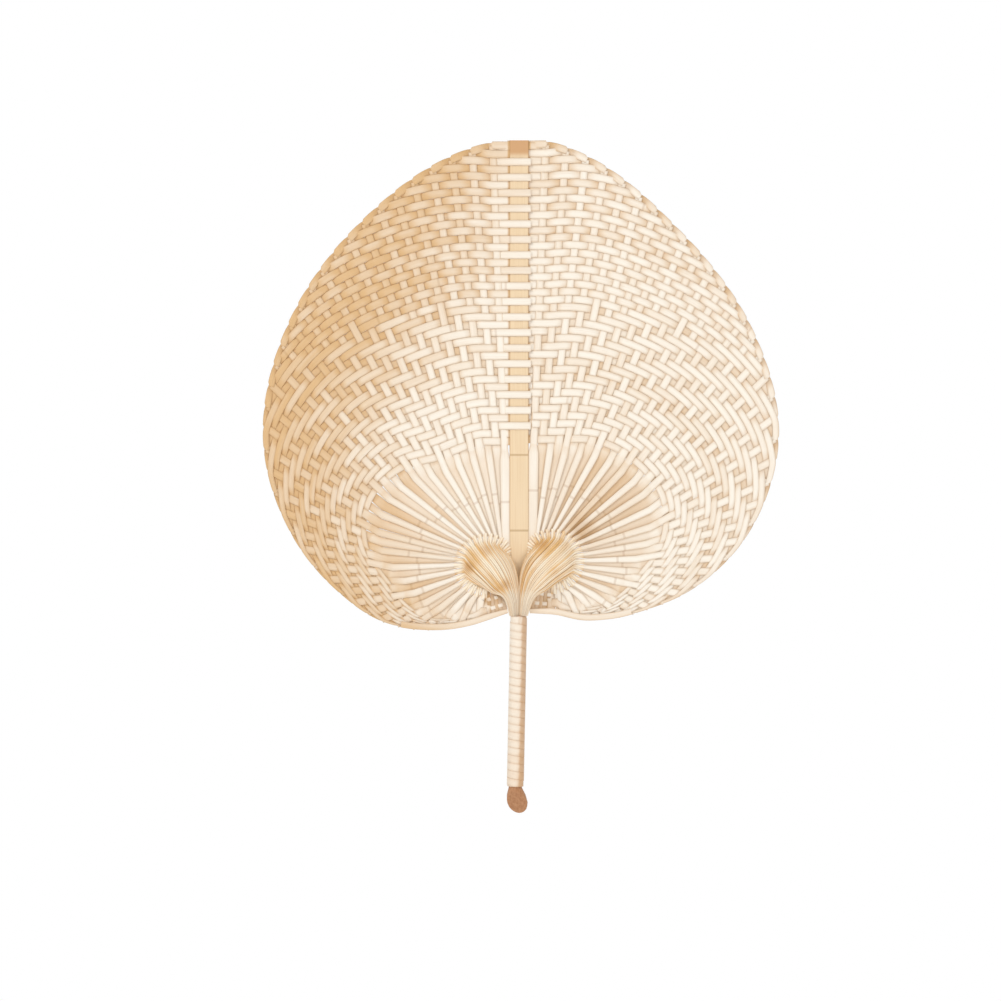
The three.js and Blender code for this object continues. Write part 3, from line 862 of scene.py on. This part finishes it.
def splint_strand(strips, side, rings, j, turn, half, tint, dice):
    """Inner end of splint j, or a strand beside the rib: it lifts off, rolls over and runs to the neck."""
    front = j % 2 == 0
    pair_turn = 0
    if j < SPLINTS:
        root = j - j % 2 + 0.5 + (-PAIR_SPREAD if front else PAIR_SPREAD)
        pair_turn = -side["sign"] * math.radians(ring_angle(root) - ring_angle(j))
    twist = STRAND_TWIST + TWIST_SPREAD * dice.random()
    swell = 1 + STRAND_SWELL * dice.random()
    centre = rings[1][0]
    rib_edge = RIB_CENTRE + side["sign"] * RIB_WIDTH / 2
    rows = []
    for share, out, back in LIFT_OFF:
        at = turn + pair_turn * min((share - 1) / 0.36, 1)
        edge = [horn_point(rings, 1, at + way * half) for way in (-1, 0, 1)]
        if j >= SPLINTS:
            share = min(share, 0.04 + abs((rib_edge - centre.x) / (edge[1].x - centre.x)))
        rows.append([centre.lerp(point, share) + Vector((0, -(out if front else back), 0)) for point in edge])
    roll_down(rows, rings, ROLL_STEP, turn, half, twist, swell)
    lay_on(strips, rows, tint)


def neck_strand(strips, rings, turn, half, dice):
    """A strand on the side of the neck: round the edge of the disc from its back, then down the neck."""
    twist = STRAND_TWIST + TWIST_SPREAD * dice.random()
    swell = 1 + STRAND_SWELL * dice.random()
    rows = []
    roll_down(rows, rings, 0, turn, half, twist, swell)
    lay_on(strips, rows, dice.random())


def lay_on(strips, rows, tint):
    """Adds the strip whose left edge, middle and right edge are given for each step of its way."""
    points, across, facing, shades = [], [], [], []
    for i, (low, middle, high) in enumerate(rows):
        run = (rows[min(i + 1, len(rows) - 1)][1] - rows[max(i - 1, 0)][1]).normalized()
        width = (high - low).normalized()
        out = run.cross(width).normalized()
        spread = max((high - low).length * STRAND_FILL, STRAND_LEAST)
        points.append(middle * MM)
        across.append(out.cross(run).normalized() * spread * MM)
        facing.append(out * (STRAND_THICKNESS / 2 * MM))
        # Browner the further forward the strand stands; paler down the neck, painted light where the humps
        # shade it
        base = 0.7 * smooth((-middle.y - 0.5) / 3) - 0.55 - 0.8 * smooth((63 - middle.z) / 5)
        shades.append(base + stain_and_painted_light(Vector((middle.x, middle.z))) if middle.y < 0 else 0.3)
    strips.add(points, across, facing, tint, shades, start=0.05)


def back_strand(strips, rings, turn, half, dice):
    """A strand on the back of the disc, from near its middle out and round the edge."""
    middle = rings[0][0]
    rows = []
    for share in (0.12, 0.5, 0.85):
        rows.append([middle.lerp(horn_point(rings, 0, turn + way * half), share) for way in (-1, 0, 1)])
    for i in range(9):
        rows.append([horn_point(rings, i / RING_STEPS, turn + way * half) for way in (-1, 0, 1)])
    lay_on(strips, rows, dice.random())


def whorl(side_name, side, tints, dice):
    """A core hidden under the strands, the strands that run into the neck and those of the back."""
    rings = horn_rings(side)
    core = Strips()
    points, across, facing = [], [], []
    for i in range(RING_STEPS * (len(rings) - 1) + 1):
        centre, first, second, reach, depth = between(rings, i / RING_STEPS)
        points.append(centre * MM)
        across.append(first * (CORE_SHARE * reach * MM))
        facing.append(second * (CORE_SHARE * depth * MM))
    core.add(points, across, facing, 0.6, [0.5] * len(points))
    core_piece = bake(f"{side_name}_whorl_core", core, whorl_finish, section_points=32, roundness=1.0)
    place_in_frame(core_piece, "whorl")
    strands = Strips()
    for j, (turn, half) in enumerate(strand_turns(side, rings)):
        if j < SPLINTS or j >= SPLINTS + NECK_STRANDS - RIB_STRANDS:
            splint_strand(strands, side, rings, j, turn, half, tints[j % SPLINTS], dice)
        else:
            neck_strand(strands, rings, turn, half, dice)
        back_strand(strands, rings, turn, half, dice)
    name = f"{side_name}_whorl"
    place_in_frame(bake(name, strands, whorl_finish, roundness=0.8), "whorl", name)


def end_splints(strips, side, band_start, band_end, dice):
    """Short splint ends beside the neck, from under the disc down to the band, with two rows woven across."""
    columns = []
    for i in range(END_SPLINTS):
        top = polar_point(side, WHORL_RADIUS - 1, END_FIRST + END_STEP * i, "curl")
        bottom = band_end.lerp(band_start, (i + 0.5) / END_SPLINTS)
        columns.append((bottom, top))
        stations = []
        for share, lift in ((0.0, 0.2), (0.3, 0.3), (0.62, 0.1), (1.0, 0.3)):
            at = bottom.lerp(top, share)
            stations.append(Station(at, lift, END_WIDTH - END_NARROWING * share, shade=0.9 + stain_and_painted_light(at)))
        strips.add_flat(stations, dice.random(), start=0.05)
    for row, share in enumerate((0.24, 0.55)):
        stations = []
        for i in range(-2, 2 * END_SPLINTS + 1):
            first = min(max(i // 2, 0), END_SPLINTS - 2)
            part = i / 2 - first
            low, high = columns[first], columns[first + 1]
            at = low[0].lerp(high[0], part).lerp(low[1].lerp(high[1], part), share)
            lift = 0.2 if i % 2 else 0.2 + 0.45 * (-1) ** (i // 2 + row)
            stations.append(Station(at, lift, END_ROW_WIDTH, shade=0.5 * stain_and_painted_light(at)))
        strips.add_flat(stations, dice.random(), start=0.05)


def lower_band(side_name, side, dice):
    """Flat strip from beside the neck out along the lower edge, and the splint ends that it holds."""
    end_x = STICK_TOP * math.tan(LEAN) + side["sign"] * (2 * BUNDLE_END_RADIUS + BAND_NECK_GAP)
    neck_end = Vector((end_x, BAND_NECK_HEIGHT))
    stations = [Station(neck_end, -BAND_FRONT, BAND_WIDTH * BAND_NECK_SHARE, shade=0.4)]
    for i in range(BAND_STEPS + 1):
        angle = BAND_FIRST + (BAND_LAST - BAND_FIRST) * i / BAND_STEPS
        point = polar_point(side, rim_radius(side, angle) - BAND_WIDTH / 2, angle)
        stations.append(Station(point, -BAND_FRONT, BAND_WIDTH, shade=0.2))
    strips = Strips()
    strips.add_flat(stations, dice.random(), BAND_THICKNESS, start=0.05)
    end_splints(strips, side, neck_end, stations[1].point, dice)
    name = f"{side_name}_lower_band"
    place_in_frame(bake(name, strips, splint_finish, section_points=12), "splint", name)


# Rib and handle

def centre_rib():
    """Slat up the middle, bent back a little below and tapered to a tail in the slot of the stick."""
    tail_x = STICK_TOP * math.tan(LEAN)
    profile = [
        (RIB_CENTRE, 0, RIB_TOP, RIB_WIDTH),
        (RIB_CENTRE, 0, RIB_BEND_TOP, RIB_WIDTH),
        (RIB_CENTRE, RIB_TAPER_BACK, RIB_TAPER_START, RIB_WIDTH),
        ((RIB_CENTRE + tail_x) / 2, RIB_SHOULDER_BACK, RIB_SHOULDER_HEIGHT, RIB_SHOULDER_WIDTH),
        (tail_x, RIB_TAIL_BACK, NECK_HEIGHT, RIB_TAIL_WIDTH),
        (tail_x, RIB_TAIL_BACK, STICK_TOP - RIB_TAIL_DEPTH, RIB_TAIL_WIDTH),
    ]
    strips = Strips()
    stations = [Station(Vector((x, z)), lift, width) for x, lift, z, width in profile]
    strips.add_flat(stations, 0.5, RIB_THICKNESS)
    slat = bake("centre_rib", strips, rib_finish, section_points=20, roundness=0.22)
    place_in_frame(slat, "rib", "centre_rib")


def grip_wrap():
    """One flat strip wound down the stick, its edges butted; its first and last turns lie level."""
    pitch = (WRAP_TOP - WRAP_BOTTOM) / (WRAP_TURNS + 1)
    lean = Matrix.Rotation(LEAN, 3, "Y")
    points, across, facing, shades = [], [], [], []
    for i in range(-WRAP_STEPS, (WRAP_TURNS + 1) * WRAP_STEPS + 1):
        turn = TAU * i / WRAP_STEPS
        level = i < 0 or i > WRAP_TURNS * WRAP_STEPS
        out = Vector((math.sin(turn), -math.cos(turn), 0))
        height = WRAP_TOP - pitch / 2 - pitch * min(max(i / WRAP_STEPS, 0), WRAP_TURNS)
        radius = WRAP_RADIUS - WRAP_THICKNESS / 2 - (WRAP_END_TUCK if level else 0)
        centre = out * radius + Vector((0, 0, height))
        run = Vector((math.cos(turn) * WRAP_RADIUS, math.sin(turn) * WRAP_RADIUS, -pitch / TAU)).normalized()
        points.append(lean @ centre * MM)
        across.append(lean @ run.cross(out) * (pitch * 0.5 * MM))
        facing.append(lean @ out * (WRAP_THICKNESS / 2 * MM))
        # Painted shade: the strip darkens on the side of the stick turned away from the key lamp
        shades.append(0.1 + 0.95 * smooth(2.2 * out.x - 0.2))
    strips = Strips()
    strips.add(points, across, facing, 0.3, shades)
    winding = bake("grip_wrap", strips, wrap_finish, section_points=12, roundness=0.25)
    place_in_frame(winding, "wrap", "grip_wrap")


dice = random.Random(7)
for side_name, side_data in SIDES.items():
    tints = [dice.random() for _ in range(SPLINTS)]
    for pair_number in range(SPLINTS // 2):
        splint_pair(f"{side_name}_splints_{pair_number + 1:02d}", side_data, pair_number, tints, dice)
    whorl(side_name, side_data, tints, dice)
    lower_band(side_name, side_data, dice)
centre_rib()
grip_wrap()

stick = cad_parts["handle_stick"]
for material_slot in stick.material_slots:
    material_slot.material = stick_finish


# Light, background and camera

def area_light(name, place, target, size, power):
    light = bpy.data.lights.new(name, "AREA")
    light.shape = "SQUARE"
    light.size = size
    light.energy = power
    holder = bpy.data.objects.new(name, light)
    bpy.context.scene.collection.objects.link(holder)
    holder.location = place
    holder.rotation_euler = (Vector(target) - Vector(place)).to_track_quat("-Z", "Y").to_euler()


def seen_ray(nodes, links):
    """1 for what the camera sees, straight on, mirrored or through a clear piece."""
    path = nodes.new("ShaderNodeLightPath")
    seen = path.outputs["Is Camera Ray"]
    for name in ("Is Glossy Ray", "Is Transmission Ray"):
        either = nodes.new("ShaderNodeMath")
        either.operation = "MAXIMUM"
        links.new(seen, either.inputs[0])
        links.new(path.outputs[name], either.inputs[1])
        seen = either.outputs[0]
    return seen


def white_world(strength):
    """Soft light from all round, and plain white where the camera sees past the object."""
    world = bpy.data.worlds.new("studio")
    bpy.context.scene.world = world
    world.use_nodes = True
    nodes, links = world.node_tree.nodes, world.node_tree.links
    nodes.clear()
    soft = nodes.new("ShaderNodeBackground")
    soft.inputs["Strength"].default_value = strength
    white = nodes.new("ShaderNodeBackground")
    white.inputs["Color"].default_value = (1, 1, 1, 1)
    choose = nodes.new("ShaderNodeMixShader")
    output = nodes.new("ShaderNodeOutputWorld")
    links.new(seen_ray(nodes, links), choose.inputs[0])
    links.new(soft.outputs[0], choose.inputs[1])
    links.new(white.outputs[0], choose.inputs[2])
    links.new(choose.outputs[0], output.inputs["Surface"])


def pale_floor(height, size, white_share):
    """Floor below the view from the front, most of the way to white, so that only a faint shadow shows."""
    bpy.ops.mesh.primitive_plane_add(size=size, location=(0, 0, height))
    floor = bpy.context.object
    floor.name = "floor"
    s = Shader("floor_pale")
    grain = s.noise(s.position(), 40.0)
    floor.data.materials.append(s.finish(linear("f8f8f8"), 0.9, grain, strength=0.05))
    glow = s.node("ShaderNodeEmission", {"Color": (1, 1, 1, 1), "Strength": 1.0})
    share = s.math("MULTIPLY", seen_ray(s.nodes, s.links), white_share)
    lifted = s.node("ShaderNodeMixShader", {"Fac": share})
    s.links.new(s.surface.outputs[0], lifted.inputs[1])
    s.links.new(glow.outputs[0], lifted.inputs[2])
    s.links.new(lifted.outputs[0], s.nodes["Material Output"].inputs["Surface"])


white_world(strength=0.73)
area_light("key", (-1.3, -1.4, 1.2), target=(0, 0, 0.13), size=0.8, power=14)
area_light("fill", (0.8, -1.9, -0.1), target=(0, 0, 0.1), size=1.4, power=13.5)
area_light("back", (0.3, 1.6, 1.3), target=(0, 0, 0.13), size=1.0, power=14)
pale_floor(height=-0.35, size=2.3, white_share=0.9)

camera_data = bpy.data.cameras.new("camera")
camera_data.lens = 125
camera = bpy.data.objects.new("camera", camera_data)
bpy.context.scene.collection.objects.link(camera)
camera.location = (-0.0095, -2.0, 0.1135)
camera.rotation_euler = (math.radians(90), 0, 0)
bpy.context.scene.camera = camera
bpy.context.scene.view_settings.view_transform = "Standard"
